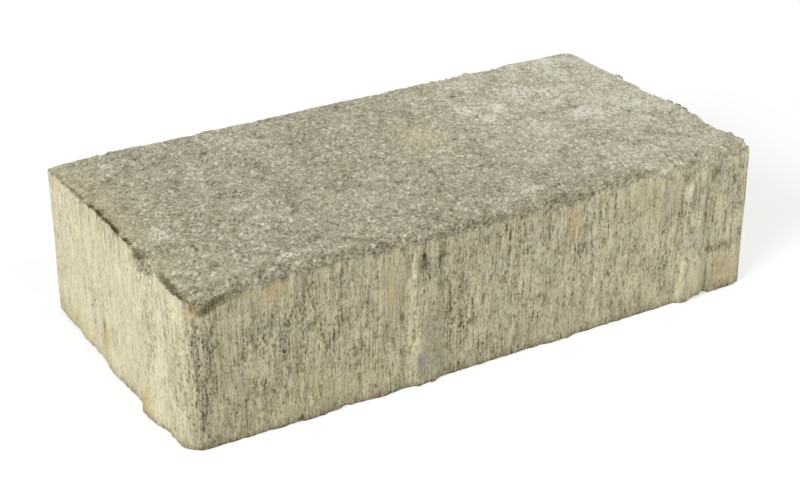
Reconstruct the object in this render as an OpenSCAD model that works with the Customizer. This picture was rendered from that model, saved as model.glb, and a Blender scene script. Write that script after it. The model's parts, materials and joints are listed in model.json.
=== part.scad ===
// Rectangular concrete paving stone with spacer nibs, pressed as one piece.
// The origin is the middle of the bed face, X runs along the length and Z is up.

/* [Stone] */
// Length of the stone without its nibs
stone_l = 200; // [120:1:300]
// Width of the stone without its nibs
stone_w = 100; // [80:1:200]
// Height from the bed face to the wearing face
stone_h = 50; // [40:1:100]
// Radius of the upright corners
corner_r = 3; // [3:0.5:10]
// Rounding of the arris round the wearing face
arris_r = 1.5; // [0.5:0.25:2.5]

/* [Spacer nibs] */
// Width of a nib where it meets the side
nib_root_w = 13; // [9:0.5:20]
// Width of a nib at its crest
nib_crest_w = 6; // [3:0.5:8]
// How far a nib stands out of the side
nib_depth = 1.5; // [1:0.25:3]
// Distance from one nib to the next along a side
nib_pitch = 50; // [30:1:60]
// How far the top of a nib stays below the wearing face
nib_drop = 6; // [3:0.5:15]
// Height of the sloping lead-in at the top of a nib
nib_lead_h = 16; // [2:0.5:20]

/* [Finish] */
// Colour of the cured concrete
concrete_colour = [0.68, 0.65, 0.53];

/* [Hidden] */
$fn = 64;

// Centre of the corner rounding, from the middle of the stone
corner_x = stone_l / 2 - corner_r;
corner_y = stone_w / 2 - corner_r;

// Level at which the sides start to round over into the wearing face
arris_z = stone_h - arris_r;

nib_h = stone_h - nib_drop;

// Depth to which the foot of a nib runs on inside the stone
nib_bite = 1;

// Number of nibs that fit between the rounded corners of a side
function nib_count(side) = floor((side - 2 * corner_r - nib_root_w) / nib_pitch) + 1;

module at_corners() {
    for (sx = [-1, 1], sy = [-1, 1])
        translate([sx * corner_x, sy * corner_y])
            children();
}

// Half of an upright section, from its middle out to a side, with the arris rounded
module half_section(reach) {
    square([reach, arris_z]);
    square([reach - arris_r, stone_h]);
    translate([reach - arris_r, arris_z])
        intersection() {
            circle(arris_r);
            square(arris_r);
        }
}

// Straight bar with that section to both sides, lying along Y
module bar(reach, run) {
    rotate([90, 0, 0])
        linear_extrude(run, center = true) {
            half_section(reach);
            mirror([1, 0]) half_section(reach);
        }
}

module block() {
    bar(stone_l / 2, 2 * corner_y);
    rotate(90) bar(stone_w / 2, 2 * corner_x);
    at_corners() rotate_extrude() half_section(corner_r);
}

// One nib on a side that lies in the XZ plane and faces +Y:
// a tapered rib with a sloping lead-in at its top
module nib() {
    intersection() {
        linear_extrude(nib_h)
            polygon([
                [-nib_root_w / 2, -nib_bite],
                [-nib_root_w / 2, 0],
                [-nib_crest_w / 2, nib_depth],
                [nib_crest_w / 2, nib_depth],
                [nib_root_w / 2, 0],
                [nib_root_w / 2, -nib_bite]
            ]);
        rotate([90, 0, 90])
            linear_extrude(nib_root_w, center = true)
                polygon([
                    [-nib_bite, 0],
                    [nib_depth, 0],
                    [nib_depth, nib_h - nib_lead_h],
                    [0, nib_h],
                    [-nib_bite, nib_h]
                ]);
    }
}

// The nibs of one side, spread evenly about its middle
module nib_row(side, reach) {
    last = nib_count(side) - 1;
    for (i = [0 : last])
        translate([(i - last / 2) * nib_pitch, reach, 0])
            nib();
}

module paving_stone() {
    color(concrete_colour) {
        block();
        for (turn = [0, 180]) {
            rotate(turn) nib_row(stone_l, stone_w / 2);
            rotate(turn + 90) nib_row(stone_w, stone_l / 2);
        }
    }
}

paving_stone();
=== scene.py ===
"""The looks of a concrete paving stone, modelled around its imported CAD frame."""
import json
import math
from functools import cached_property
from typing import NamedTuple

import bpy
import numpy as np
from mathutils import Matrix, Vector


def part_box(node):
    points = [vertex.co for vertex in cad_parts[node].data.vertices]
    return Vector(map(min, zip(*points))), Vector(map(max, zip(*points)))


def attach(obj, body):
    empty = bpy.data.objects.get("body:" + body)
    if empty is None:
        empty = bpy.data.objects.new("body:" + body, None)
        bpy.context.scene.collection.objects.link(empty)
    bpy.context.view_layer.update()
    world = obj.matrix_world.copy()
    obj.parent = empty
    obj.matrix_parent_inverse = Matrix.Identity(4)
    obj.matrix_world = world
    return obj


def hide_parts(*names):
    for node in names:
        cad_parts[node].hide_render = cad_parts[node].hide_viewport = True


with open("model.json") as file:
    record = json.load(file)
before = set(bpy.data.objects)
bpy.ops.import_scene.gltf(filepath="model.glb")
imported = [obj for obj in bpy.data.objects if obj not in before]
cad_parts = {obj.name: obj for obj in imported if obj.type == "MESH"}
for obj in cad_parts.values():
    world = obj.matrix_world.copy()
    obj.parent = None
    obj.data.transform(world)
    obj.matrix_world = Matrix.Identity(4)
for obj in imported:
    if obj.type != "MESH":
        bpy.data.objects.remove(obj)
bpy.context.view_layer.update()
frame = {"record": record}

# Sizes of the stone and places of the camera are in millimetres, in the frame of the CAD part
MM = 0.001
NODE = frame["record"]["subparts"][0]["node"]

# Form of the stone
NIB_DEPTH = 1.5
NIB_ROOT_W = 13.0
NIB_TOP = 44.0
NIB_LEAD_H = 16.0
BED_EDGE_R = 0.54
# Rounding of the upright corners, by the signs of X and Y: the near left one is the most worn
CORNER_RADII = {(-1, -1): 7.0, (1, -1): 2.6, (-1, 1): 4.0, (1, 1): 3.0}
low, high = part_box(NODE)
HALF_L = (high.x - low.x) / MM / 2 - NIB_DEPTH
HALF_W = (high.y - low.y) / MM / 2 - NIB_DEPTH
HEIGHT = (high.z - low.z) / MM

# Spacing of the mesh: fine along the edges, and coarser up the sides, whose marks run upright
PLAN_STEP = 0.64
RISE_STEP = 1.5
EDGE_STEP = 0.375
EDGE_BAND = 3.0
BED_STRIDE = 4

# The four sides, in the order of the distances in nearest_side()
SIDES = FRONT, BACK, LEFT, RIGHT = range(4)


def graded(start, stop, low_band, high_band, step, cells_multiple=1):
    """Grid places from start to stop, fine within the two bands at its ends."""
    places = []
    middle = round((stop - start - low_band - high_band) / step)
    counts = [round(low_band / EDGE_STEP), middle, round(high_band / EDGE_STEP)]
    counts[1] -= sum(counts) % cells_multiple
    marks = [start, start + low_band, stop - high_band, stop]
    for count, a, b in zip(counts, marks, marks[1:]):
        places.append(np.linspace(a, b, count, endpoint=False))
    return np.append(np.concatenate(places), stop)


def quads(index):
    """Four-sided faces of a two-way run of vertices, turned from its first way to its second."""
    corners = index[:-1, :-1], index[1:, :-1], index[1:, 1:], index[:-1, 1:]
    return np.stack(corners, axis=-1).reshape(-1, 4)


def bed_faces(index):
    """Wide faces of the bed, whose outer edges take in every vertex of the sides."""
    faces = []
    last_i, last_j = np.array(index.shape) - 1
    for i in range(0, last_i, BED_STRIDE):
        for j in range(0, last_j, BED_STRIDE):
            i2, j2 = i + BED_STRIDE, j + BED_STRIDE
            i_run = range(i, i2)
            j_run = range(j, j2)
            ring = [index[n, j] for n in i_run] if j == 0 else [index[i, j]]
            ring += [index[i2, n] for n in j_run] if i2 == last_i else [index[i2, j]]
            ring += [index[n + 1, j2] for n in reversed(i_run)] if j2 == last_j else [index[i2, j2]]
            ring += [index[i, n + 1] for n in reversed(j_run)] if i == 0 else [index[i, j2]]
            faces.append([int(n) for n in reversed(ring)])
    return faces


def surface_grid():
    """Points and faces of a closed grid over a sharp-edged block of the stone's size."""
    xs = graded(-HALF_L, HALF_L, EDGE_BAND, EDGE_BAND, PLAN_STEP, BED_STRIDE)
    ys = graded(-HALF_W, HALF_W, EDGE_BAND, EDGE_BAND, PLAN_STEP, BED_STRIDE)
    zs = graded(0, HEIGHT, EDGE_BAND / 2, EDGE_BAND, RISE_STEP)
    i, j, k = np.indices((len(xs), len(ys), len(zs)))
    on_side = (i == 0) | (i == len(xs) - 1) | (j == 0) | (j == len(ys) - 1)
    on_bed = (k == 0) & (i % BED_STRIDE == 0) & (j % BED_STRIDE == 0)
    kept = on_side | on_bed | (k == len(zs) - 1)
    index = np.full(kept.shape, -1)
    index[kept] = np.arange(kept.sum())
    points = np.stack([xs[i[kept]], ys[j[kept]], zs[k[kept]]], axis=1)
    faces = [
        quads(index[:, :, -1]),
        quads(index[:, 0, :]),
        quads(index[:, -1, :])[:, ::-1],
        quads(index[0, :, :])[:, ::-1],
        quads(index[-1, :, :]),
    ]
    return points, np.concatenate(faces).tolist() + bed_faces(index[:, :, 0])


def smoothstep(low_end, high_end, value):
    """Share from 0 to 1 of the way from one end to the other, eased at both."""
    t = np.clip((value - low_end) / (high_end - low_end), 0, 1)
    return t * t * (3 - 2 * t)


def bell(value, middle, half_width):
    """Share that is 1 at the middle and falls off to both sides."""
    return np.exp(-(((value - middle) / half_width) ** 2))


def fading(distance, run):
    """Share that is 1 at no distance and falls to about a third with each run."""
    return np.exp(-distance / run)


# Number of cells after which the noise repeats
LATTICE = 64

# Layers of noise that shape and tint the stone: strength, cell in millimetres (one, or one each way), seed
LAYERS = {
    "worn arris": [(0.35, 5.0, 11)],
    "ragged chips": [(0.25, 1.8, 12)],
    "ragged bed edge": [(0.45, 1.6, 13)],
    "rough crumbs": [(0.4, 1.2, 21)],
    "ragged fins": [(0.6, 2.6, 22), (0.6, 0.9, 23)],
    "grain": [(0.20, 24.0, 31), (0.10, 5.0, 32), (0.10, 2.4, 33), (0.10, 1.35, 34)],
    "top pits": [(1.0, 2.2, 35)],
    "drag marks": [
        (0.12, (1.35, 1.35, 14.0), 41),
        (0.08, (3.2, 3.2, 26.0), 42),
        (0.12, (20.0, 20.0, 26.0), 43),
        (0.05, (1.4, 1.4, 3.0), 44),
    ],
    "side pits": [(1.0, (1.6, 1.6, 3.4), 46)],
    "bed": [(0.15, 14.0, 51), (0.10, 4.0, 52)],
    "ragged skin": [(0.4, 5.0, 61), (0.5, 1.7, 62)],
    "open patches": [(0.35, (14.0, 14.0, 20.0), 71)],
    "bloom patches": [(0.5, 6.0, 81), (0.4, 3.0, 82)],
    "pale patches": [(0.6, 2.0, 83)],
    "dark patches": [(0.6, (1.2, 1.2, 4.0), 84)],
}


def noise(points, cell, seed):
    """Smooth seeded noise from -1 to 1, with features about one cell across."""
    table = np.random.default_rng(seed).uniform(-1, 1, (LATTICE, LATTICE, LATTICE))
    scaled = points / np.asarray(cell, float)
    base = np.floor(scaled).astype(int)
    t = smoothstep(0, 1, scaled - base)
    total = np.zeros(len(points))
    for corner in np.ndindex(2, 2, 2):
        weight = np.prod(np.where(corner, t, 1 - t), axis=1)
        total += weight * table[tuple((base + corner).T % LATTICE)]
    return total


def layered(points, name):
    """Sum of the layers of noise of one name."""
    return sum(strength * noise(points, cell, seed) for strength, cell, seed in LAYERS[name])


def nearest_side(points):
    """The side that each point lies on or nearest to, and the place along that side."""
    x, y, _ = points.T
    side = np.argmin([HALF_W + y, HALF_W - y, HALF_L + x, HALF_L - x], axis=0)
    return side, np.where(side <= BACK, x, y)


# Rounding of the worn arris along each side: places along the side, and the radius there
ARRIS = {
    FRONT: ([-100, -60, 20, 50, 85, 100], [2.4, 2.0, 2.4, 3.8, 4.2, 3.8]),
    BACK: ([-100, 100], [1.2, 1.2]),
    LEFT: ([-50, -44, 44, 50], [1.2, 0.5, 0.5, 1.0]),
    RIGHT: ([-50, -40, 50], [2.2, 1.2, 1.0]),
}

# Corners of the wearing face that are worn down: signs of X and Y, depth of the wear and how far it runs
WORN_CORNERS = [
    (-1, -1, 3.2, 8.0),
    (1, -1, 0.7, 5.0),
]
# Roundness of a worn corner's tip, and how far down the wear fades out
WORN_TIP = 3.0
WORN_HEIGHT = 14.0

# Places where the arris is knocked off: side, place along it, half width, and size of the slanting break
CHIPS = [
    (FRONT, -91.5, 6.0, 2.4),
    (LEFT, -22.2, 3.0, 7.0),
    (LEFT, -26.6, 6.2, 4.7),
    (RIGHT, -30.0, 9.0, 2.5),
    (BACK, 64.0, 8.0, 2.0),
    (BACK, -30.0, 5.0, 1.8),
]
# Rounding where a break starts
CHIP_EASE = 0.8
# How much steeper than halfway between upright and level the breaks of each side are
CHIP_SLOPES = {FRONT: 1.0, BACK: 1.0, LEFT: 1.7, RIGHT: 1.0}

# Places where the edge of the bed is knocked off, in the same form
NOTCHES = [
    (FRONT, -65.4, 1.4, 0.9),
    (FRONT, 99.0, 2.0, 1.4),
    (FRONT, 31.5, 2.0, 1.0),
    (FRONT, -50.0, 1.2, 1.0),
    (FRONT, 81.0, 5.0, 2.6),
    (LEFT, 31.0, 25.0, 1.7),
    (BACK, 20.0, 6.0, 2.0),
    (RIGHT, 12.0, 5.0, 1.8),
]

# Ragged fins of paste that stand above the wearing face: places along a side, and heights there
FINS = {
    LEFT: (
        [-50, -46, -40, -34, -32, -20.5, -17, -8, 0, 12, 20, 34, 50],
        [0.4, 0.8, 0.7, 1.1, 0.0, 0.0, 1.0, 1.5, 1.1, 1.4, 0.9, 0.5, 0.0],
    ),
    BACK: ([-86, -81, -76, 36, 42, 50, 58, 62], [0.0, 0.9, 0.0, 0.0, 0.8, 0.9, 0.6, 0.0]),
    RIGHT: ([-50, -20, 20, 50], [0.5, 0.3, 0.3, 0.2]),
    FRONT: ([-100, 100], [0.0, 0.0]),
}
# Mean share of those heights that is left, how far from the edge a fin starts to fall and ends, and the
# level that no fin passes
FIN_MEAN = 0.55
FIN_CREST = 0.2
FIN_INSET = 1.0
FIN_TOP = HEIGHT + 1.3
# Groove behind a fin: its depth as a share of the fin's height, its place and its half width
FIN_GROOVE = 0.5
FIN_GROOVE_INSET = 1.6
FIN_GROOVE_HALF_W = 0.6

# Crumbs of paste that hang on a side just under the arris: side, place, half width, reach
CRUMBS = [
    (RIGHT, 20.0, 2.2, 1.5),
    (RIGHT, 20.5, 4.0, 0.5),
    (RIGHT, -7.5, 2.0, 1.5),
    (RIGHT, -11.5, 2.0, 1.7),
    (RIGHT, -15.0, 1.8, 1.6),
    (RIGHT, -21.0, 2.2, 0.9),
    (RIGHT, -14.0, 10.0, 0.7),
    (RIGHT, -38.5, 2.0, 0.8),
    (RIGHT, -43.5, 2.6, 1.1),
    (RIGHT, -41.5, 5.0, 0.4),
]
# Blunter crumbs have a lower number, and all of them hang so far below the wearing face
CRUMB_BLUNTNESS = 0.8
CRUMB_DEPTH = 0.25
CRUMB_HALF_H = 1.2

# Nibs of each side: place along it, fullness, and the height above which the nib is worn away
NIBS = {
    FRONT: [(-73.5, 0.15, 5.0), (-23.0, 0.85, 44.0), (27.0, 0.45, 6.0), (77.8, 1.0, 18.0)],
    BACK: [(-76.0, 0.9, 30.0), (-25.5, 1.0, 44.0), (24.5, 0.7, 12.0), (74.0, 1.0, 38.0)],
    LEFT: [(-24.5, 1.2, 9.0), (-28.0, 0.9, 9.0), (24.5, 0.3, 14.0)],
    RIGHT: [(-25.0, 1.0, 40.0), (25.0, 0.8, 20.0)],
}
# What is left of a nib's reach where it is worn, the run of the change, and the width of its slopes
NIB_WORN_SHARE = 0.10
NIB_WEAR_RUN = 5.0
NIB_SLOPE_W = 4.0

# Runs of paste that stuck to a side, and swellings at its foot, which start below it:
# side, heights, places along the side there, half width, reach
RUNS = [
    (FRONT, [32.0, 34.5, 38.5, 43.0], [77.0, 75.6, 74.8, 77.0], 1.0, 1.0),
    (FRONT, [16.0, 30.0, 46.0], [81.0, 80.7, 80.9], 0.8, 0.5),
    (FRONT, [27.0, 36.0, 45.0], [-26.9, -26.9, -26.8], 0.7, 0.5),
    (FRONT, [2.0, 9.0, 17.5], [74.0, 73.8, 74.4], 1.2, 0.4),
    (FRONT, [3.0, 10.0, 16.0], [80.6, 80.0, 79.6], 1.4, 0.4),
    (FRONT, [3.0, 8.0, 14.0], [86.6, 86.2, 86.0], 1.3, 0.4),
    (FRONT, [-3.0, 3.0, 7.0], [-61.0, -61.0, -61.0], 7.0, 1.0),
    (FRONT, [-3.0, 3.0, 7.0], [-37.5, -37.5, -37.5], 6.5, 0.9),
    (LEFT, [-3.0, 5.0, 10.0], [1.5, 1.5, 1.5], 7.0, 0.6),
    (BACK, [12.0, 22.0, 30.0], [-41.0, -40.2, -40.8], 1.2, 0.6),
]
RUN_EASE = 2.0


def hollow_of(side, along, places):
    """Size of the knocked-off places along the edges, nought elsewhere."""
    size = np.zeros(len(along))
    for name, place, half_width, full in places:
        near = np.clip(1 - ((along - place) / half_width) ** 2, 0, 1)
        size = np.maximum(size, np.where(side == name, full * np.sqrt(near), 0))
    return size


def along_sides(side, along, table):
    """Value of a table of places and values for each side."""
    value = np.zeros(len(along))
    for name, (places, values) in table.items():
        value = np.where(side == name, np.interp(along, places, values), value)
    return value


def rounded_edge(inset, depth, radius):
    """Inset and depth of points on a sharp edge once it is rounded."""
    u = np.clip(1 - inset / radius, 0, 1)
    v = np.clip(1 - depth / radius, 0, 1)
    near = (u > 0) & (v > 0)
    length = np.where(near, np.hypot(u, v), 1)
    return (
        np.where(near, radius * (1 - u / length), inset),
        np.where(near, radius * (1 - v / length), depth),
    )


def break_depth(inset, depth, size, slope):
    """How far points on an edge are moved in and down, once it is broken off on a slant."""
    over = np.clip(size - slope * inset - depth / slope, 0, None)
    return (np.hypot(over, CHIP_EASE) - CHIP_EASE) / (slope**2 + 1 / slope**2)


def nib_reach(side, along, z):
    """How far the nibs stand out of the sides."""
    reach = np.zeros(len(along))
    lead = np.clip((NIB_TOP - z) / NIB_LEAD_H, 0, 1)
    for name, nibs in NIBS.items():
        for place, fullness, whole_to in nibs:
            across = smoothstep(0, NIB_SLOPE_W, NIB_ROOT_W / 2 - np.abs(along - place))
            worn = smoothstep(whole_to - NIB_WEAR_RUN, whole_to, z) if whole_to < NIB_TOP else 0
            kept = fullness * (1 - worn * (1 - NIB_WORN_SHARE))
            reach = np.maximum(reach, np.where(side == name, NIB_DEPTH * kept * across * lead, 0))
    return reach


def run_reach(side, along, z):
    """How far the runs of paste stand out of the sides."""
    reach = np.zeros(len(along))
    for name, heights, places, half_width, size in RUNS:
        ends = smoothstep(0, RUN_EASE, np.minimum(z - heights[0], heights[-1] - z))
        across = bell(along, np.interp(z, heights, places), half_width)
        reach = np.maximum(reach, np.where(side == name, size * ends * across, 0))
    return reach


def crumb_reach(side, along, depth):
    """How far the crumbs of paste hang out of the sides."""
    reach = np.zeros(len(along))
    level = bell(depth, CRUMB_DEPTH, CRUMB_HALF_H)
    for name, place, half_width, size in CRUMBS:
        lump = np.clip(1 - ((along - place) / half_width) ** 2, 0, 1) ** CRUMB_BLUNTNESS
        reach = np.maximum(reach, np.where(side == name, size * lump * level, 0))
    return reach


# Where the sandy skin of the wearing face ends: place along a side, and how far inside the arris it is
SKIN_EDGE = {
    FRONT: (
        [
            -100, -94, -90, -86.5, -83.5, -80.5, -73, -64, -30, 15, 24, 28, 32,
            36, 47, 51, 55, 60, 65.5, 68.5, 73, 77, 81, 87, 94, 98,
        ],
        [
            -1.5, -0.3, 0.0, -2.0, -3.6, -2.2, -2.8, -2.2, -3.2, -3.2, -2.8, -4.2, -4.4,
            -2.9, -3.3, -2.5, -1.8, -2.9, -3.6, -2.0, -2.3, -3.2, -2.1, -2.8, -3.0, -1.3,
        ],
    ),
    BACK: ([-100, 100], [-1.5, -1.5]),
    LEFT: ([-50, 50], [0.5, 0.5]),
    RIGHT: ([-50, 50], [-0.4, -0.4]),
}
# Share of a chip's size by which the sandy skin reaches down into it
CHIP_SKIN_SHARE = 0.9
# Half widths of the belts in which relief and tone go over from the sandy skin to the sides
RELIEF_BLEND = 1.0
TONE_BLEND = 0.5

# Share of the way outward that lies along Y where an upright corner starts to count as a long side
LONG_SIDE_FROM = 0.5

# How open the skin of each side is, with its pores and drag marks bared, and how that goes with height
OPEN_SHARES = {FRONT: 1.0, BACK: 0.9, LEFT: 0.7, RIGHT: 0.75}
OPEN_HEIGHTS = [0, 7, 15, 42, 50]
OPEN_HEIGHT_SHARES = [0.6, 0.7, 1.0, 1.0, 0.8]
OPEN_MOST = 1.4
BED_OPEN_SHARE = 0.9

# Pits: the stretch of their noise over which they deepen, and their full depth
TOP_PITS = (0.55, 0.9)
TOP_PIT_DEPTH = 0.4
SIDE_PITS = (0.35, 0.75)
SIDE_PIT_DEPTH = 0.35
# Mean height of the bed face over the floor, between its edges
BED_HOLLOW = 0.25

# Tone of the paste of each side and of the sand, from 0 for dark to 1 for pale
PASTE_LEVELS = {FRONT: 0.55, BACK: 0.58, LEFT: 0.71, RIGHT: 0.60}
SAND_LEVEL = 0.48
# Painted shade along the front of the wearing face and along its front arris, and loss of tone along the
# foot of the sides, each with its run
FRONT_PAINTED_SHADE = 0.065
FRONT_PAINTED_SHADE_RUN = 9.0
ARRIS_PAINTED_SHADE = 0.09
ARRIS_PAINTED_SHADE_RUN = 2.5
FOOT_DULL = 0.08
FOOT_DULL_RUN = 5.0
# Gain of tone from the middle of a long side to its right end
PASTE_DRIFT = 0.06
# Gain of tone by the bloom of lime: where it grows along X and Y and its share at the front; and painted
# light, a gain of tone along the back, with its run
BLOOM = 0.23
BLOOM_ALONG = (-10.0, 90.0)
BLOOM_ACROSS = (-50.0, 10.0)
BLOOM_FRONT_SHARE = 0.6
BACK_PAINTED_LIGHT = 0.03
BACK_PAINTED_LIGHT_RUN = 10.0
# Gain of tone in the pale marks, two of which are painted light on a lit nib slope, and loss of tone in the
# dark marks
PALE_AND_PAINTED_LIGHT_GAIN = 0.4
DARK_LOSS = 0.3

# Strength of the painted shadow with soil behind fins, of the soil on crumbs and in breaks, and of the
# darkening along the foot, and where they lie
FIN_SHADOW_AND_SOIL = 0.9
FIN_SHADOW_AND_SOIL_INSET = 1.7
FIN_SHADOW_AND_SOIL_HALF_W = 1.0
CRUMB_SOIL = 0.75
FOOT_DARKENING = 0.75
FOOT_DARKENING_RUN = 2.2
BREAK_SOIL = 0.2
BREAK_SOIL_DEPTHS = (0.1, 0.8)


class Stone:
    """Points of the stone's surface as they are shaped, with where each lies on the block."""

    def __init__(self):
        self.grid, self.faces = surface_grid()
        x, y, z = self.grid.T
        self.side, self.along = nearest_side(self.grid)
        self.inset = np.minimum(HALF_L - np.abs(x), HALF_W - np.abs(y))
        self.depth = HEIGHT - z
        self.on_bed = (z == 0) & (self.inset > 0)
        self.on_top = self.depth == 0
        self.on_side = self.inset == 0
        # Place along the four sides in turn, so that each side gets marks of its own
        self.run = self.along + self.side * 4 * HALF_L
        self.points, self.outward = self.block()
        # How far each point belongs to each of the sides
        choices = [{name: float(name == side) for name in SIDES} for side in SIDES]
        self.shares = [self.on_side * self.by_side(values) for values in choices]
        self.open = self.openness()
        self.rim = self.skin_rim()

    def line(self):
        """Places along the sides alone, for noise that runs along an edge."""
        return np.column_stack([self.run, 0 * self.run, 0 * self.run])

    def rounded_plan(self):
        """Places in plan with the upright corners rounded, and the ways outward there."""
        x, y, _ = self.grid.T
        radius = np.zeros(len(x))
        for (x_sign, y_sign), corner_r in CORNER_RADII.items():
            radius = np.where((x_sign * x >= 0) & (y_sign * y >= 0), corner_r, radius)
        core_x = np.clip(x, radius - HALF_L, HALF_L - radius)
        core_y = np.clip(y, radius - HALF_W, HALF_W - radius)
        core = np.column_stack([core_x, core_y])
        arm = self.grid[:, :2] - core
        length = np.hypot(*arm.T)
        outward = arm / np.where(length > 0, length, 1)[:, None]
        return core + outward * np.abs(arm).max(axis=1)[:, None], outward

    def block(self):
        """The grid with its corners and edges rounded and chipped, and the ways outward in plan."""
        plan, outward = self.rounded_plan()
        line = self.line()
        arris = along_sides(self.side, self.along, ARRIS) * (1 + layered(line, "worn arris"))
        chips = hollow_of(self.side, self.along, CHIPS) * (1 + layered(line, "ragged chips"))
        notches = hollow_of(self.side, self.along, NOTCHES)
        bed_edge = BED_EDGE_R + layered(line, "ragged bed edge") + notches
        inset, depth = rounded_edge(self.inset, self.depth, arris)
        slope = np.array([CHIP_SLOPES[side] for side in SIDES])[self.side]
        self.broken = break_depth(inset, depth, chips, slope)
        inset = inset + slope * self.broken
        inset, z = rounded_edge(inset, HEIGHT - depth - self.broken / slope, bed_edge)
        plan = plan - outward * (inset - self.inset)[:, None]
        return np.column_stack([plan, z - self.corner_wear()]), outward

    def corner_wear(self):
        """How far the worn corners lie lower than the rest of the wearing face."""
        x, y, _ = self.grid.T
        drop = np.zeros(len(x))
        for x_sign, y_sign, size, reach in WORN_CORNERS:
            away = np.hypot(HALF_L - x_sign * x, HALF_W - y_sign * y)
            drop += size * fading(np.hypot(away, WORN_TIP) - WORN_TIP, reach)
        return drop * smoothstep(WORN_HEIGHT, 0, self.depth)

    def by_side(self, values):
        """Value of each side, which goes over from one to the next round a corner."""
        end = np.where(self.outward[:, 0] < 0, values[LEFT], values[RIGHT])
        flank = np.where(self.outward[:, 1] < 0, values[FRONT], values[BACK])
        return end + (flank - end) * smoothstep(LONG_SIDE_FROM, 1, np.abs(self.outward[:, 1]))

    def openness(self):
        """How open the skin of the sides is, from 0 to OPEN_MOST."""
        share = self.by_side(OPEN_SHARES)
        share *= np.interp(self.grid[:, 2], OPEN_HEIGHTS, OPEN_HEIGHT_SHARES)
        share *= 1 + layered(self.grid, "open patches")
        share = np.clip(share + mask(self, "open"), 0, OPEN_MOST) * (1 - mask(self, "smooth"))
        return np.where(self.on_side, share, np.where(self.on_bed, BED_OPEN_SHARE, 0))

    def skin_rim(self):
        """How far each point lies inside the sandy skin of the wearing face, which ends near the arris."""
        unrolled = np.where(self.on_top, self.inset, -self.depth)
        edge = along_sides(self.side, self.along, SKIN_EDGE)
        edge -= CHIP_SKIN_SHARE * hollow_of(self.side, self.along, CHIPS)
        return unrolled - edge - layered(self.line(), "ragged skin")

    def add_nibs_and_fins(self):
        """Moves the points out to the nibs, runs and crumbs of the sides, and up to the fins."""
        z = self.grid[:, 2]
        rough = np.column_stack([self.run, z, 0 * self.run])
        reach = nib_reach(self.side, self.along, z) + run_reach(self.side, self.along, z)
        reach += crumb_reach(self.side, self.along, self.depth) * (1 + layered(rough, "rough crumbs"))
        self.points[:, :2] += self.outward * np.where(self.on_side, reach, 0)[:, None]
        ragged = np.clip(FIN_MEAN + layered(self.line(), "ragged fins"), 0, None)
        self.fin = along_sides(self.side, self.along, FINS) * ragged
        crest = 1 - smoothstep(FIN_CREST, FIN_INSET, self.inset + self.depth)
        groove = FIN_GROOVE * bell(self.inset, FIN_GROOVE_INSET, FIN_GROOVE_HALF_W)
        self.points[:, 2] += self.fin * (crest - groove * self.on_top)
        self.points[:, 2] = np.minimum(self.points[:, 2], FIN_TOP)

    def relief(self):
        """Height of the fine relief over the form: grain on top, drag marks and pits on the sides."""
        top = layered(self.grid, "grain")
        top -= TOP_PIT_DEPTH * smoothstep(*TOP_PITS, layered(self.grid, "top pits"))
        self.pit = self.open * smoothstep(*SIDE_PITS, layered(self.grid, "side pits"))
        drag = layered(self.grid, "drag marks") - SIDE_PIT_DEPTH * self.pit
        bed = layered(self.grid, "bed") - BED_HOLLOW
        sandy = smoothstep(-RELIEF_BLEND, RELIEF_BLEND, self.rim)
        above = np.where(self.grid[:, 2] == 0, 0, drag + (top - drag) * sandy)
        return np.where(self.on_bed, bed, above)

    def sand_tone(self):
        """Tone of the wearing face: paler to the right by the bloom of lime, paler along the back by
        painted light, and darker along the front and its front arris by painted shade.
        """
        x, y, _ = self.grid.T
        # Painted shade along the front of the wearing face and its front arris
        front_shade = FRONT_PAINTED_SHADE * fading(HALF_W + y, FRONT_PAINTED_SHADE_RUN)
        front_shade += ARRIS_PAINTED_SHADE * fading(self.inset, ARRIS_PAINTED_SHADE_RUN) * (self.side == FRONT)
        across = BLOOM_FRONT_SHARE + (1 - BLOOM_FRONT_SHARE) * smoothstep(*BLOOM_ACROSS, y)
        bloom = BLOOM * smoothstep(*BLOOM_ALONG, x) * across
        # Painted light along the back of the wearing face
        bloom += BACK_PAINTED_LIGHT * fading(HALF_W - y, BACK_PAINTED_LIGHT_RUN)
        return SAND_LEVEL + bloom * (1 + layered(self.grid, "bloom patches")) - front_shade

    def paste_tone(self):
        """Tone of the sides: darker at the foot, and paler to the right on the long ones."""
        x, _, z = self.grid.T
        drift = PASTE_DRIFT * x / HALF_L * self.outward[:, 1] ** 2
        return self.by_side(PASTE_LEVELS) - FOOT_DULL * fading(z, FOOT_DULL_RUN) + drift

    def tone(self):
        """Tone of the surface, from 0 for dark to 1 for pale, before its fine marks."""
        sand = self.sand_tone()
        paste = self.paste_tone()
        sandy = np.where(self.on_top, 1, smoothstep(-TONE_BLEND, TONE_BLEND, self.rim))
        # Pale marks, two of them painted light on the lit slope of a nib
        pale_and_painted_light = mask(self, "pale_and_painted_light") * (1 + layered(self.grid, "pale patches"))
        dark = mask(self, "dark") * (1 + layered(self.grid, "dark patches"))
        return paste + (sand - paste) * sandy + PALE_AND_PAINTED_LIGHT_GAIN * pale_and_painted_light - DARK_LOSS * dark

    def soil_and_shade(self):
        """Strength from 0 to 1 of the soil and painted shade: soil in breaks and on crumbs, painted shadow
        with soil behind fins, darkening along the foot, and marks, some of them painted shadow in hollows.
        """
        on_left = self.side == LEFT
        behind_fin = bell(self.inset, FIN_SHADOW_AND_SOIL_INSET, FIN_SHADOW_AND_SOIL_HALF_W) * self.on_top
        kinds = [
            mask(self, "soil_and_shade"),
            # Painted shadow with soil on the top behind the left fins
            FIN_SHADOW_AND_SOIL * behind_fin * np.clip(self.fin, 0, 1) * on_left,
            CRUMB_SOIL * crumb_reach(self.side, self.along, self.depth) * self.on_side,
            # Darker along the foot of the sides
            FOOT_DARKENING * fading(self.grid[:, 2], FOOT_DARKENING_RUN) * self.on_side,
            BREAK_SOIL * smoothstep(*BREAK_SOIL_DEPTHS, self.broken) * on_left,
        ]
        return np.clip(np.maximum.reduce(kinds), 0, 1)


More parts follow.
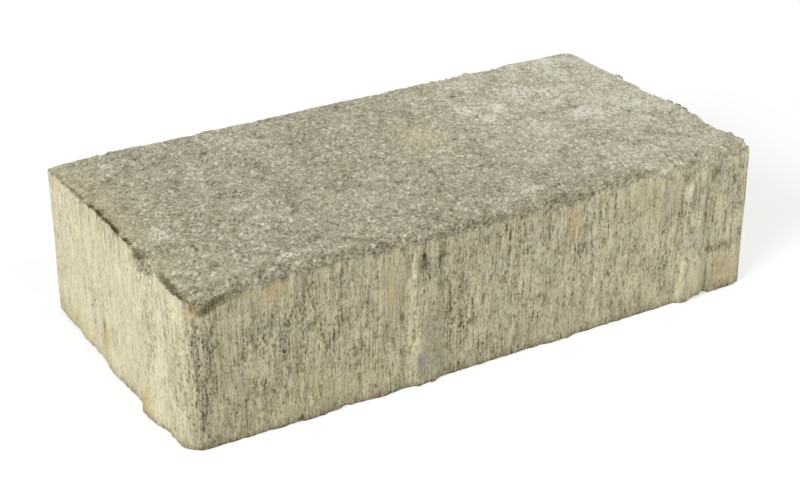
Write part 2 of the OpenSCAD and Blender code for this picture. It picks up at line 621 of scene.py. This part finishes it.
# Marks on the stone, by kind: where each lies, its middle, its half sizes and its strength.
# On top the places are along X and Y, and on a side they are along it and up
TOP = 4
MARKS = {
    "tan": [
        (LEFT, (7.8, 9.0), (2.4, 5.5), 1.0),
        (LEFT, (8.2, 11.4), (1.0, 3.2), 1.3),
        (LEFT, (-24.0, 2.5), (4.5, 5.0), 1.1),
        (LEFT, (33.0, 3.0), (16.0, 4.5), 0.5),
        (FRONT, (-72.0, 44.5), (4.0, 2.4), 0.9),
        (FRONT, (-97.3, 46.8), (2.2, 3.2), 1.0),
        (FRONT, (93.0, 6.0), (6.0, 6.0), 0.6),
        (FRONT, (30.0, 40.0), (3.0, 6.0), 0.75),
        (FRONT, (-60.0, 10.0), (30.0, 9.0), 0.2),
        (FRONT, (-34.5, 33.0), (3.2, 11.0), 0.4),
        (FRONT, (69.3, 41.0), (2.6, 4.5), 0.3),
        (FRONT, (59.0, 42.0), (7.0, 6.0), 0.35),
        (TOP, (11.0, 10.0), (6.0, 9.0), 0.4),
        (TOP, (60.1, -2.1), (1.5, 1.5), 0.9),
    ],
    "dark": [
        (FRONT, (-96.5, 20.0), (4.5, 20.0), 0.65),
        (FRONT, (-21.5, 16.0), (4.0, 14.0), 0.2),
        (FRONT, (-88.0, 22.0), (7.0, 22.0), 0.1),
        (FRONT, (-12.0, 24.0), (5.0, 18.0), 0.35),
        (FRONT, (72.8, 28.0), (1.6, 6.0), 0.5),
        (FRONT, (83.2, 27.0), (1.5, 8.0), 0.5),
        (FRONT, (0.0, 3.0), (90.0, 5.0), 0.12),
        (FRONT, (-28.9, 40.5), (0.9, 5.0), 0.4),
        (FRONT, (-23.6, 38.5), (2.2, 5.5), 0.55),
        (FRONT, (-17.9, 39.0), (1.4, 7.0), 0.5),
        (FRONT, (-66.0, 26.0), (5.0, 12.0), 0.2),
        (LEFT, (-26.7, 30.0), (2.4, 8.0), 0.8),
        (LEFT, (8.2, 10.0), (1.8, 6.0), 1.15),
        (LEFT, (-47.0, 20.0), (8.0, 21.0), 0.8),
        (LEFT, (0.0, 0.0), (60.0, 6.0), 0.25),
        (LEFT, (36.0, 2.5), (15.0, 5.0), 0.4),
        (LEFT, (-24.0, 3.5), (4.5, 4.5), 0.85),
        (LEFT, (0.0, 50.0), (60.0, 4.5), 0.45),
        (LEFT, (50.0, 25.0), (6.0, 30.0), 0.5),
    ],
    "smooth": [
        (FRONT, (-34.0, 34.0), (3.8, 11.0), 0.9),
        (FRONT, (-21.5, 14.0), (3.5, 14.0), 0.5),
        (FRONT, (-80.0, 42.0), (8.0, 4.0), 0.8),
        (FRONT, (55.0, 43.0), (12.0, 4.0), 0.6),
        (FRONT, (69.3, 41.0), (2.6, 5.0), 0.9),
        (FRONT, (78.0, 9.0), (5.0, 8.0), 0.7),
        (LEFT, (-12.0, 25.0), (4.0, 16.0), 0.5),
    ],
    "soil_and_shade": [
        # Darker patches on and under the broken near corner
        (FRONT, (-93.0, 45.4), (3.2, 2.0), 1.2),
        (FRONT, (-89.2, 46.8), (3.4, 1.6), 1.4),
        (FRONT, (-84.0, 46.3), (5.0, 1.0), 0.6),
        (FRONT, (-97.0, 48.2), (2.2, 2.6), 1.0),
        (FRONT, (-78.5, 46.6), (1.6, 0.6), 0.7),
        (FRONT, (-72.5, 46.5), (2.0, 0.5), 0.6),
        (FRONT, (-23.6, 40.6), (1.9, 3.8), 0.85),
        (FRONT, (-17.9, 40.0), (1.1, 6.5), 0.75),
        (FRONT, (72.0, 36.0), (0.6, 10.0), 0.6),
        (FRONT, (82.2, 34.0), (0.6, 9.0), 0.6),
        (FRONT, (84.6, 43.2), (1.8, 3.4), 0.75),
        (FRONT, (90.8, 42.3), (1.1, 2.8), 0.65),
        (FRONT, (74.0, 44.0), (1.6, 2.8), 0.75),
        (FRONT, (67.3, 45.6), (1.4, 1.0), 0.8),
        (FRONT, (84.8, 16.4), (2.2, 1.8), 0.95),
        (FRONT, (90.0, 16.4), (4.5, 1.6), 0.75),
        (FRONT, (84.0, 20.0), (0.9, 1.1), 0.7),
        (FRONT, (83.9, 8.0), (0.6, 7.0), 0.55),
        (FRONT, (71.3, 6.0), (0.8, 6.0), 0.4),
        (FRONT, (92.0, 1.0), (9.0, 3.5), 0.5),
        (FRONT, (-42.2, 25.2), (0.8, 1.0), 0.8),
        # Painted shadow in the notch of the front foot
        (FRONT, (-65.2, 1.2), (1.1, 1.1), 1.2),
        (LEFT, (8.5, 13.4), (0.9, 2.4), 0.75),
        # Painted shadow along the inner side of the fin at the near end of the left edge
        (TOP, (-98.6, -41.0), (1.3, 7.5), 1.2),
        # Painted shadow in the hollow at the top of the break in the left edge, on top and on the side
        (TOP, (-98.8, -20.6), (1.6, 2.6), 1.4),
        (LEFT, (-20.0, 49.2), (2.2, 1.4), 1.0),
        (TOP, (40.0, 34.1), (1.9, 1.3), 1.0),
        (TOP, (70.1, 5.2), (1.8, 1.0), 0.9),
        (TOP, (31.8, -1.8), (1.6, 1.0), 0.7),
        (TOP, (-53.4, 33.5), (1.3, 1.3), 0.7),
        (TOP, (59.0, -25.3), (1.2, 1.2), 0.8),
    ],
    "grey": [
        (FRONT, (-28.9, 40.5), (0.9, 5.0), 0.9),
        (FRONT, (-21.0, 38.0), (4.0, 6.0), 0.5),
        (FRONT, (-21.5, 14.0), (3.5, 14.0), 0.6),
        (FRONT, (-81.0, 42.0), (2.5, 2.5), 0.7),
        (LEFT, (-8.0, 26.0), (16.0, 14.0), 0.35),
        (FRONT, (79.5, 36.0), (2.0, 9.0), 0.6),
        (FRONT, (77.5, 21.0), (4.5, 7.0), 0.7),
        (LEFT, (-26.0, 47.5), (6.0, 2.0), 0.6),
    ],
    "slate": [
        (FRONT, (-25.2, 8.2), (1.2, 3.0), 1.4),
        (FRONT, (-32.3, 26.6), (0.6, 2.4), 0.6),
        (FRONT, (-28.9, 40.5), (0.8, 4.0), 0.35),
        (BACK, (31.0, 18.0), (1.5, 4.0), 0.7),
    ],
    "pale_and_painted_light": [
        # Painted light on the lit left slope of the front nib at X -23
        (FRONT, (-27.4, 17.0), (1.6, 14.0), 0.25),
        (FRONT, (50.0, 24.0), (12.0, 16.0), 0.15),
        (FRONT, (77.0, 29.0), (2.6, 9.0), 0.15),
        # Painted light: a pale line on the left slope of that nib near its top
        (FRONT, (-27.0, 38.5), (0.6, 5.5), 0.8),
        (FRONT, (76.3, 34.6), (0.7, 1.4), 0.4),
        (FRONT, (75.0, 36.8), (0.7, 1.4), 0.5),
        (FRONT, (74.8, 39.2), (0.7, 1.6), 0.5),
        (FRONT, (78.0, 9.0), (4.0, 7.0), 0.12),
    ],
    "bloom": [
        (TOP, (-89.4, -12.9), (3.5, 5.0), 0.6),
        (TOP, (-64.7, -42.6), (2.0, 1.2), 1.2),
        (TOP, (36.5, 20.0), (2.8, 3.2), 1.1),
        (TOP, (39.0, 12.5), (2.8, 3.8), 1.2),
        (TOP, (47.3, 17.6), (3.0, 3.6), 1.0),
        (TOP, (61.0, 25.5), (4.2, 4.4), 1.1),
        (TOP, (11.0, 10.0), (6.0, 9.0), 0.25),
        (TOP, (69.7, 20.9), (3.6, 4.6), 1.1),
        (TOP, (71.0, -1.0), (4.0, 5.2), 1.1),
        (TOP, (86.0, 45.5), (3.0, 3.0), 0.8),
        (TOP, (66.0, -38.0), (7.0, 2.0), 0.6),
        (TOP, (20.0, -42.0), (4.0, 2.0), 0.7),
    ],
    "cream": [
        (TOP, (-97.0, 14.0), (9.0, 32.0), 1.0),
        (TOP, (-97.0, -32.0), (5.0, 12.0), 0.7),
        (TOP, (11.0, 10.0), (7.0, 11.0), 0.8),
    ],
    "open": [
        (FRONT, (-96.0, 22.0), (4.0, 20.0), 0.15),
        (FRONT, (-12.0, 26.0), (5.0, 14.0), 0.2),
        (LEFT, (-26.5, 29.0), (3.2, 9.0), 0.6),
        (FRONT, (-70.0, 28.0), (9.0, 7.0), 0.2),
        (LEFT, (-40.0, 20.0), (7.0, 18.0), 0.4),
        (LEFT, (47.0, 25.0), (4.0, 18.0), 0.3),
    ],
}


def mask(stone, name):
    """Strength of the marks of one kind, nought away from them."""
    value = np.zeros(len(stone.grid))
    x, y, z = stone.grid.T
    for place, (u, v), (half_u, half_v), strength in MARKS[name]:
        if place == TOP:
            there, along, across = stone.on_top, x, y
        elif place in (FRONT, BACK):
            there, along, across = stone.shares[place], x, z
        else:
            there, along, across = stone.shares[place], y, z
        spot = bell(along, u, half_u) * bell(across, v, half_v)
        value = np.maximum(value, there * strength * spot)
    return value


def add_relief(mesh, stone):
    """Moves the points of the mesh by the fine relief, and keeps them from sinking into the floor."""
    normals = np.empty(len(stone.points) * 3, np.float32)
    mesh.vertex_normals.foreach_get("vector", normals)
    stone.points += normals.reshape(-1, 3) * stone.relief()[:, None]
    stone.points[:, 2] = np.maximum(stone.points[:, 2], 0)
    mesh.vertices.foreach_set("co", (stone.points * MM).astype(np.float32).ravel())


def add_values(mesh, stone):
    """Writes the values that the material reads at each point."""
    values = {
        "rim": stone.rim,
        "pit": stone.pit,
        "open": stone.open,
        "tone": stone.tone(),
        "soil_and_shade": stone.soil_and_shade(),
    }
    for name in ("tan", "grey", "slate", "cream", "bloom"):
        values[name] = mask(stone, name)
    for name, value in values.items():
        mesh.attributes.new(name, "FLOAT", "POINT").data.foreach_set("value", value.astype(np.float32))


def add_object(name, data):
    """A new object in the scene."""
    thing = bpy.data.objects.new(name, data)
    bpy.context.scene.collection.objects.link(thing)
    return thing


def build_stone():
    """The stone as one closed mesh."""
    stone = Stone()
    stone.add_nibs_and_fins()
    mesh = bpy.data.meshes.new("paving_stone_cast")
    mesh.from_pydata((stone.points * MM).tolist(), [], stone.faces)
    add_relief(mesh, stone)
    add_values(mesh, stone)
    mesh.shade_smooth()
    mesh.update()
    return add_object("paving_stone_cast", mesh)


class Texture(NamedTuple):
    """Pattern in a material: its cell each way in millimetres, its weight, how much finer detail it has,
    how rough that is, and its turn in plan in degrees."""

    cell: tuple
    weight: float = 1.0
    detail: float = 2.0
    roughness: float = 0.5
    turn: float = 0.0


# Middle of the values that a noise or a random number takes
MIDDLE = 0.5


class Nodes:
    """Short ways to write the nodes of a material or a world."""

    def __init__(self, owner):
        owner.use_nodes = True
        self.tree = owner.node_tree

    def put(self, value, socket):
        """Sets a socket to a value, or links it to another socket."""
        if isinstance(value, bpy.types.NodeSocket):
            self.tree.links.new(value, socket)
        else:
            socket.default_value = value

    def node(self, kind, values=None, **settings):
        """A new node with its settings, and the values of its sockets by name or number."""
        node = self.tree.nodes.new(kind)
        for key, value in settings.items():
            setattr(node, key, value)
        for key, value in (values or {}).items():
            self.put(value, node.inputs[key])
        return node

    def math(self, operation, a, b=0.0, c=0.0):
        return self.node("ShaderNodeMath", {0: a, 1: b, 2: c}, operation=operation).outputs[0]

    def times(self, a, b):
        return self.math("MULTIPLY", a, b)

    def most(self, a, b):
        return self.math("MAXIMUM", a, b)

    def plus(self, total, value, weight=1.0):
        """The total with a value added to it, times the value's weight."""
        return self.math("MULTIPLY_ADD", value, weight, total)

    def swing(self, parts, total=0.0):
        """The total with noises added to it, each taken about its middle and times its weight."""
        for value, weight in parts:
            total = self.plus(total, self.math("SUBTRACT", value, MIDDLE), weight)
        return total

    def ramp(self, value, start, stop, low_value=0.0, high_value=1.0, ease="SMOOTHSTEP"):
        """Goes from the low value to the high one as a value goes from start to stop."""
        ends = {"From Min": start, "From Max": stop, "To Min": low_value, "To Max": high_value}
        return self.node("ShaderNodeMapRange", {"Value": value, **ends}, interpolation_type=ease).outputs[0]

    def mix(self, a, b, factor, blend="MIX"):
        """Two colours mixed, which have the sockets 6, 7 and 2 of their node."""
        values = {0: factor, 6: a, 7: b}
        return self.node("ShaderNodeMix", values, data_type="RGBA", blend_type=blend).outputs[2]

    def attribute(self, name):
        """A value that add_values() wrote."""
        return self.node("ShaderNodeAttribute", attribute_name=name).outputs["Fac"]

    @cached_property
    def object_place(self):
        return self.node("ShaderNodeTexCoord").outputs["Object"]

    def place(self, texture):
        """Place on the stone, turned with the texture and counted in its cells."""
        place = self.object_place
        if texture.turn:
            values = {"Vector": place, "Angle": math.radians(texture.turn)}
            place = self.node("ShaderNodeVectorRotate", values, rotation_type="Z_AXIS").outputs[0]
        counts = tuple(1 / (MM * side) for side in texture.cell)
        return self.node("ShaderNodeVectorMath", {0: place, 1: counts}, operation="MULTIPLY").outputs[0]

    def noise(self, texture):
        """Cloudy noise from 0 to 1."""
        values = {"Vector": self.place(texture), "Scale": 1.0}
        values |= {"Detail": texture.detail, "Roughness": texture.roughness}
        return self.node("ShaderNodeTexNoise", values).outputs["Fac"]

    def grains(self, texture):
        """A random number for each of many small cells, and the distance to a cell's middle."""
        node = self.node("ShaderNodeTexVoronoi", {"Vector": self.place(texture), "Scale": 1.0})
        number = self.node("ShaderNodeSeparateColor", {0: node.outputs["Color"]}).outputs[0]
        return number, node.outputs["Distance"]

    def colours(self, value, stops):
        """Colour for a value from 0 to 1, from a list of values with the colours there."""
        node = self.node("ShaderNodeValToRGB", {"Fac": value})
        elements = node.color_ramp.elements
        for element, (place, colour) in zip(elements, (stops[0], stops[-1])):
            element.position = place
            element.color = colour
        for place, colour in stops[1:-1]:
            elements.new(place).color = colour
        return node.outputs["Color"]


# Colours, as linear shares of reflected light
PASTE_TONES = [
    (0.00, (0.09, 0.075, 0.042, 1)),
    (0.20, (0.26, 0.225, 0.135, 1)),
    (0.45, (0.50, 0.45, 0.295, 1)),
    (0.60, (0.63, 0.575, 0.385, 1)),
    (0.80, (0.76, 0.70, 0.475, 1)),
    (1.00, (0.86, 0.80, 0.56, 1)),
]
SAND_TONES = [
    (0.00, (0.14, 0.125, 0.080, 1)),
    (0.25, (0.31, 0.28, 0.19, 1)),
    (0.50, (0.48, 0.445, 0.325, 1)),
    (0.70, (0.62, 0.58, 0.435, 1)),
    (1.00, (0.86, 0.825, 0.705, 1)),
]
GREY_TONES = [
    (0.00, (0.09, 0.080, 0.052, 1)),
    (0.45, (0.44, 0.41, 0.305, 1)),
    (1.00, (0.78, 0.745, 0.60, 1)),
]
TAN = (0.62, 0.48, 0.235, 1)
SLATE = (0.31, 0.305, 0.29, 1)
# Tint of the soil, which also serves as painted shade in hollows and behind the fins
SOIL_AND_SHADE_TINT = (0.40, 0.38, 0.31, 1)

# Textures of the sides, with their weights in the tone
SIDE_TEXTURES = {
    "fine streak": Texture((0.6, 0.6, 7.0), 1.0, roughness=0.65),
    "streak": Texture((1.4, 1.4, 13.0), 0.5),
    "mottle": Texture((4.5, 4.5, 9.0), 0.4),
    "speckle": Texture((0.6, 0.6, 1.0), 1.1, roughness=0.6),
}
# Places where pores crowd: where the texture starts and stops to count, and what it gives at both ends
CROWDS = Texture((5.5, 5.5, 9.0))
CROWD_SHARES = (0.25, 0.75, 0.5, 1.35)
CROWD_GREYS = (0.40, 0.70, 0.0, 0.5)
# Cells of the pores, and then in shares of a cell: how many hold a pore in open skin, the half width of
# the largest, the random number that it takes, the strength and cell of ragged rims, and their softness
LARGE_PORE_CELL = (1.3, 1.3, 2.8)
SMALL_PORE_CELL = (0.8, 0.8, 1.4)
PORE_SHARE = 0.55
PORE_HALF_W = 0.58
PORE_LARGEST = 1.02
PORE_RAGGED = 0.9
PORE_RAGGED_CELL = 0.4
PORE_RIM = (-0.02, 0.12)
# Painted shade in a pore, as its loss of tone, and how far the pits of the mesh count as pores
PORE_PAINTED_SHADE = 0.23
PIT_PORES = (0.2, 0.9, 0.0, 0.5)
# Contrast of the marks in closed skin, what open skin adds, and the height of streaks to a pore's depth
CLOSED_CONTRAST = 0.55
OPEN_CONTRAST = 0.38
STREAK_HEIGHT = 0.8
# Most that the colours of stains cover
SLATE_COVER = 0.8
SIDE_TAN_COVER = 0.75
TOP_TAN_COVER = 0.35

# Way in plan, in degrees, in which the pressed grains of the wearing face are drawn out
GRAIN_TURN = 31.0
# Textures of the wearing face, with their weights in the tone and in the height
SAND_GRAINS = {
    "grain": Texture((0.8, 1.45, 0.8), 0.24, turn=GRAIN_TURN),
    "fine grain": Texture((0.45, 0.82, 0.45), 0.43, turn=GRAIN_TURN),
}
SAND_NOISES = {
    "rough": Texture((0.8, 1.4, 0.8), 0.42, 3.0, 0.6, GRAIN_TURN),
    "blotch": Texture((2.6, 3.2, 2.6), 0.54, turn=GRAIN_TURN),
    "patch": Texture((9.0, 9.0, 9.0), 0.5),
}
SAND_HEIGHTS = {"rough": 3.0, "grain": 0.7, "fine grain": 0.7}
# The brightest grains: the random numbers that they take, and their gain of tone
BRIGHT_GRAINS = (0.86, 0.96)
BRIGHT_GAIN = 0.16
# Coarse grains: their edge, and the random numbers that dark and pale ones take, with their gains of tone
COARSE_GRAINS = Texture((1.5, 2.6, 1.5), turn=GRAIN_TURN)
COARSE_EDGE = (0.40, 0.25)
COARSE_TONES = [((0.25, 0.15), -0.23), ((0.78, 0.88), 0.28)]
# How much of the marks is left where the skin is creamy
CREAM_CALM = (0.0, 1.0, 1.0, 0.6)
# Flecks of the bloom of lime, and its gain of tone
FLECKS = Texture((1.2, 1.9, 1.2), turn=GRAIN_TURN)
FLECK_EDGE = (0.35, 0.65)
FLECK_GAIN = 0.8

# Ragged end of the sandy skin and its softness, and patches of the soil and painted shade with the strength
# from which they show
SKIN_RAGGED = Texture((0.8, 0.8, 0.8))
SKIN_RAGGED_REACH = (0.2, 0.8, -0.6, 0.6)
SKIN_FADE = (-0.2, 0.2)
SOIL_AND_SHADE_PATCHES = Texture((0.7, 0.7, 1.1))
SOIL_AND_SHADE_PATCH_SHARES = (0.3, 0.7, 0.6, 1.4)
SOIL_AND_SHADE_FADE = (0.1, 0.9)

# Surface of the concrete: dull, with a fine relief
ROUGHNESS = 0.92
SPECULAR = 0.25
BUMP_STRENGTH = 0.6
BUMP_HEIGHT = 0.25


def weighted(values, textures):
    """The values of textures, each with its weight."""
    return [(values[name], texture.weight) for name, texture in textures.items()]


def pores_of(nodes, cell, open_share):
    """Strength from 0 to 1 of small ragged pores, the more of them the more open the skin is."""
    number, distance = nodes.grains(Texture(cell))
    fewest = nodes.plus(1.0, open_share, -PORE_SHARE)
    size = nodes.ramp(number, fewest, PORE_LARGEST, 0.0, PORE_HALF_W)
    ragged = Texture(tuple(PORE_RAGGED_CELL * side for side in cell), detail=1.0)
    level = nodes.swing([(nodes.noise(ragged), PORE_RAGGED)], nodes.math("SUBTRACT", size, distance))
    return nodes.ramp(level, *PORE_RIM)


def side_paste(nodes):
    """Colour and height of the sides: paste with drag marks, open pores with painted shade in them, and
    grey patches.
    """
    open_share = nodes.attribute("open")
    marks = {name: nodes.noise(texture) for name, texture in SIDE_TEXTURES.items()}
    crowd = nodes.noise(CROWDS)
    crowded = nodes.times(nodes.ramp(crowd, *CROWD_SHARES), open_share)
    pores = pores_of(nodes, LARGE_PORE_CELL, nodes.times(crowded, open_share))
    pores = nodes.most(pores, pores_of(nodes, SMALL_PORE_CELL, crowded))
    pores = nodes.most(pores, nodes.ramp(nodes.attribute("pit"), *PIT_PORES))
    contrast = nodes.plus(CLOSED_CONTRAST, open_share, OPEN_CONTRAST)
    tone = nodes.plus(nodes.attribute("tone"), nodes.swing(weighted(marks, SIDE_TEXTURES)), contrast)
    # Painted shade in the pores
    tone = nodes.plus(tone, nodes.times(pores, contrast), -PORE_PAINTED_SHADE)
    grey = nodes.times(nodes.ramp(crowd, *CROWD_GREYS), open_share)
    grey = nodes.most(grey, nodes.attribute("grey"))
    colour = nodes.mix(nodes.colours(tone, PASTE_TONES), nodes.colours(tone, GREY_TONES), grey)
    colour = nodes.mix(colour, SLATE, nodes.times(nodes.attribute("slate"), SLATE_COVER))
    colour = nodes.mix(colour, TAN, nodes.times(nodes.attribute("tan"), SIDE_TAN_COVER))
    height = nodes.math("SUBTRACT", nodes.times(marks["fine streak"], STREAK_HEIGHT), pores)
    return colour, height


def sandy_skin(nodes):
    """Colour and height of the wearing face: pale and dark grains of sand held in paste."""
    marks = {name: nodes.grains(texture)[0] for name, texture in SAND_GRAINS.items()}
    marks |= {name: nodes.noise(texture) for name, texture in SAND_NOISES.items()}
    swing = nodes.swing(weighted(marks, SAND_GRAINS | SAND_NOISES))
    swing = nodes.plus(swing, nodes.ramp(marks["grain"], *BRIGHT_GRAINS), BRIGHT_GAIN)
    number, distance = nodes.grains(COARSE_GRAINS)
    spot = nodes.ramp(distance, *COARSE_EDGE)
    for numbers, gain in COARSE_TONES:
        swing = nodes.plus(swing, nodes.times(nodes.ramp(number, *numbers), spot), gain)
    cream = nodes.attribute("cream")
    tone = nodes.plus(nodes.attribute("tone"), swing, nodes.ramp(cream, *CREAM_CALM))
    flecks = nodes.ramp(nodes.noise(FLECKS), *FLECK_EDGE)
    tone = nodes.plus(tone, nodes.times(nodes.attribute("bloom"), flecks), FLECK_GAIN)
    colour = nodes.mix(nodes.colours(tone, SAND_TONES), nodes.colours(tone, PASTE_TONES), cream)
    colour = nodes.mix(colour, TAN, nodes.times(nodes.attribute("tan"), TOP_TAN_COVER))
    height = nodes.swing([(marks[name], weight) for name, weight in SAND_HEIGHTS.items()])
    return colour, height


def concrete():
    """The material of the stone: the paste of the sides, the sandy skin on top, and soil and painted shade
    over both.
    """
    material = bpy.data.materials.new("concrete")
    nodes = Nodes(material)
    ragged = nodes.ramp(nodes.noise(SKIN_RAGGED), *SKIN_RAGGED_REACH)
    skin = nodes.ramp(nodes.plus(nodes.attribute("rim"), ragged), *SKIN_FADE)
    side_colour, side_height = side_paste(nodes)
    top_colour, top_height = sandy_skin(nodes)
    patchy = nodes.ramp(nodes.noise(SOIL_AND_SHADE_PATCHES), *SOIL_AND_SHADE_PATCH_SHARES)
    # Soil and painted shade over the colour
    soil_and_shade_cover = nodes.ramp(nodes.times(nodes.attribute("soil_and_shade"), patchy), *SOIL_AND_SHADE_FADE)
    colour = nodes.mix(nodes.mix(side_colour, top_colour, skin), SOIL_AND_SHADE_TINT, soil_and_shade_cover, "MULTIPLY")
    height = nodes.node("ShaderNodeMix", {0: skin, 2: side_height, 3: top_height}).outputs[0]
    relief = {"Strength": BUMP_STRENGTH, "Distance": BUMP_HEIGHT * MM, "Height": height}
    surface = nodes.tree.nodes["Principled BSDF"].inputs
    nodes.put(colour, surface["Base Color"])
    nodes.put(ROUGHNESS, surface["Roughness"])
    nodes.put(SPECULAR, surface["Specular IOR Level"])
    nodes.put(nodes.node("ShaderNodeBump", relief).outputs["Normal"], surface["Normal"])
    return material


cast = build_stone()
cast.data.materials.append(concrete())
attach(cast, "root")
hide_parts(NODE)

# Camera, as the photograph sees the stone
CAMERA_AZIMUTH = -31.2
CAMERA_ELEVATION = 26.46
CAMERA_DISTANCE = 560.0
CAMERA_AIM = Vector((2.73, 6.95, 14.78))
CAMERA_LENS = 77.1
SENSOR_WIDTH = 36.0


def direction(azimuth, elevation):
    """Unit way from the stone, by angles in degrees.
    Azimuth 0 is in front of the stone, and a negative one is to its left."""
    azimuth, elevation = math.radians(azimuth), math.radians(elevation)
    level = math.cos(elevation)
    return Vector((math.sin(azimuth) * level, -math.cos(azimuth) * level, math.sin(elevation)))


def facing(position, target):
    """Matrix of a lamp or camera at position that looks at target, upright."""
    turn = (target - position).to_track_quat("-Z", "Y")
    return Matrix.Translation(position) @ turn.to_matrix().to_4x4()


def add_camera():
    data = bpy.data.cameras.new("camera")
    data.sensor_width = SENSOR_WIDTH
    data.lens = CAMERA_LENS
    camera = add_object("camera", data)
    eye = CAMERA_AIM + CAMERA_DISTANCE * direction(CAMERA_AZIMUTH, CAMERA_ELEVATION)
    camera.matrix_world = facing(eye * MM, CAMERA_AIM * MM)
    bpy.context.scene.camera = camera


# Lamps, a soft key from the left and weak ones from the right and the back:
# azimuth and elevation in degrees, distance and size in metres, power in watts
LAMPS = {
    "key": (-68, 29, 2.2, 1.0, 36.0),
    "fill": (50, 30, 1.0, 0.5, 2.2),
    "back": (150, 18, 2.0, 1.0, 7.0),
}

# Light of the surround, and the floor with its glow near the stone and far from it, with sizes in metres
WORLD_LEVEL = 0.34
WHITE = (1, 1, 1, 1)
FLOOR_GREY = (0.55, 0.55, 0.55, 1)
FLOOR_GLOW = 0.58
FLOOR_FAR_GLOW = 0.81
FLOOR_NEAR = 0.6
FLOOR_FAR = 3.0
FLOOR_REACH = 20.0


def add_lamp(name, azimuth, elevation, distance, size, power):
    data = bpy.data.lights.new(name, "AREA")
    data.shape = "DISK"
    data.size = size
    data.energy = power
    lamp = add_object(name, data)
    lamp.matrix_world = facing(distance * direction(azimuth, elevation), Vector((0, 0, 0)))


def level_for_seen(nodes, unseen_level, seen_level):
    """One level for the light that the surround gives, and another for how it shows itself:
    straight, mirrored or through glass."""
    path = nodes.node("ShaderNodeLightPath").outputs
    seen = path["Is Camera Ray"]
    for name in ("Is Glossy Ray", "Is Transmission Ray"):
        seen = nodes.most(seen, path[name])
    return nodes.ramp(seen, 0, 1, unseen_level, seen_level, "LINEAR")


def add_world():
    world = bpy.data.worlds.new("world")
    nodes = Nodes(world)
    background = nodes.tree.nodes["Background"].inputs
    nodes.put(WHITE, background["Color"])
    nodes.put(level_for_seen(nodes, WORLD_LEVEL, 1.0), background["Strength"])
    bpy.context.scene.world = world


def floor_material():
    """Pale grey that shows as white and still takes the stone's shadow.
    Its glow makes up for the lamps' light where they are far off."""
    material = bpy.data.materials.new("floor")
    nodes = Nodes(material)
    nodes.tree.nodes.clear()
    place = nodes.node("ShaderNodeNewGeometry").outputs["Position"]
    distance = nodes.node("ShaderNodeVectorMath", {0: place}, operation="LENGTH").outputs["Value"]
    level = nodes.ramp(distance, FLOOR_NEAR, FLOOR_FAR, FLOOR_GLOW, FLOOR_FAR_GLOW, "LINEAR")
    glow = nodes.node("ShaderNodeEmission", {"Strength": level_for_seen(nodes, 0.0, level)})
    diffuse = nodes.node("ShaderNodeBsdfDiffuse", {"Color": FLOOR_GREY})
    both = nodes.node("ShaderNodeAddShader", {0: diffuse.outputs[0], 1: glow.outputs[0]})
    nodes.node("ShaderNodeOutputMaterial", {"Surface": both.outputs[0]})
    return material


def add_floor():
    corners = [(x * FLOOR_REACH, y * FLOOR_REACH, 0) for x, y in ((-1, -1), (1, -1), (1, 1), (-1, 1))]
    mesh = bpy.data.meshes.new("floor")
    mesh.from_pydata(corners, [], [(0, 1, 2, 3)])
    mesh.materials.append(floor_material())
    floor = add_object("floor", mesh)


add_camera()
for name, lamp in LAMPS.items():
    add_lamp(name, *lamp)
add_world()
add_floor()
bpy.context.scene.view_settings.view_transform = "Standard"
